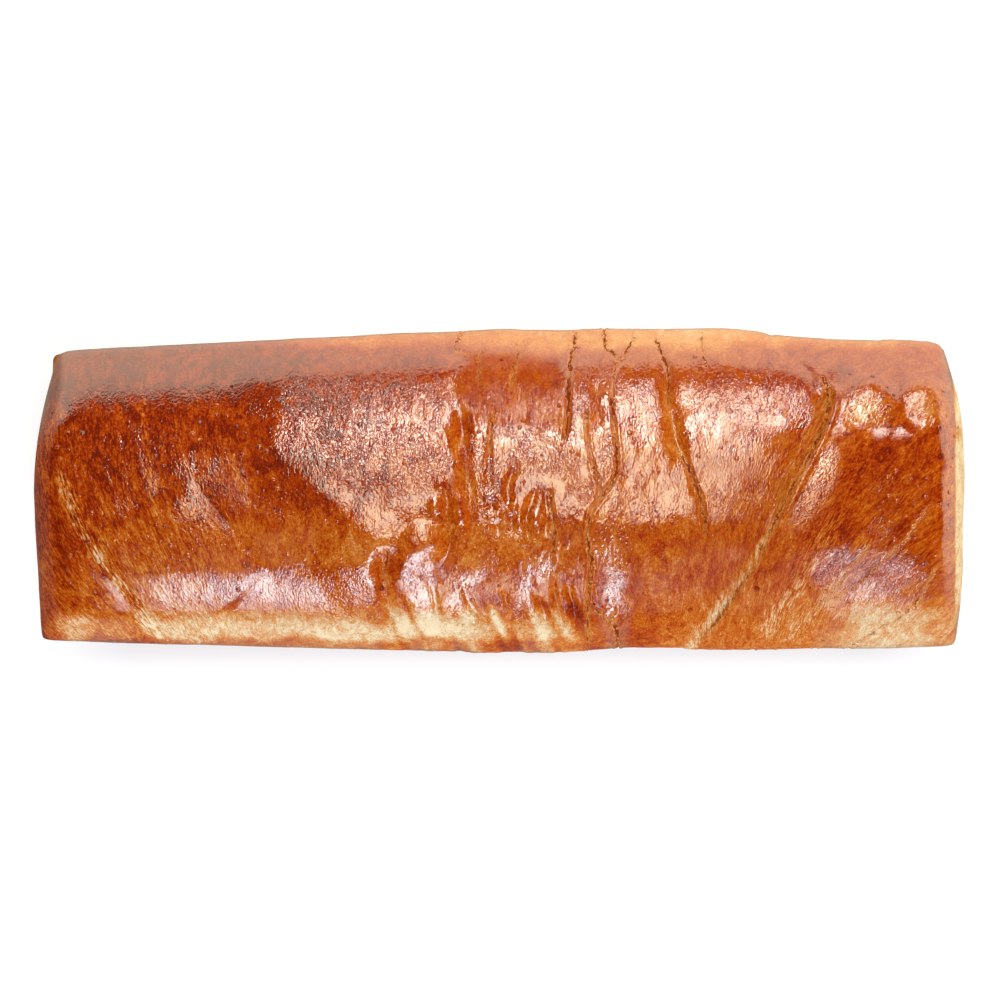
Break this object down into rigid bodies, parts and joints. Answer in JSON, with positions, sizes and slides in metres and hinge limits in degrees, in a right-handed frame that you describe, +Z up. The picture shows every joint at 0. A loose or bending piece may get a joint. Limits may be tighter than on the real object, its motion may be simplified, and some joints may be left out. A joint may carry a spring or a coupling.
{
  "type": "tin loaf",
  "caption": "Long open-top tin loaf with a glazed, folded brown crown over flat tin-shaped walls and a flat base to rest on.",
  "frame": {"origin": "middle of the flat base, under the middle of the whole outline seen from above", "axes": "+X along the loaf, towards the end with the big diagonal fold; +Y across it, towards its cracked back edge; +Z up out of the tin"},
  "size_m": [0.3292, 0.1156, 0.1135],
  "materials": {
    "crust": "egg-washed baked crust: glossy red-brown crown with darker speckles and blisters, pale golden where folds tore open, matt pale golden tin walls browned at their edges"
  },
  "bodies": {
    "root": {"loaf": "crust"}
  },
  "joints": []
}
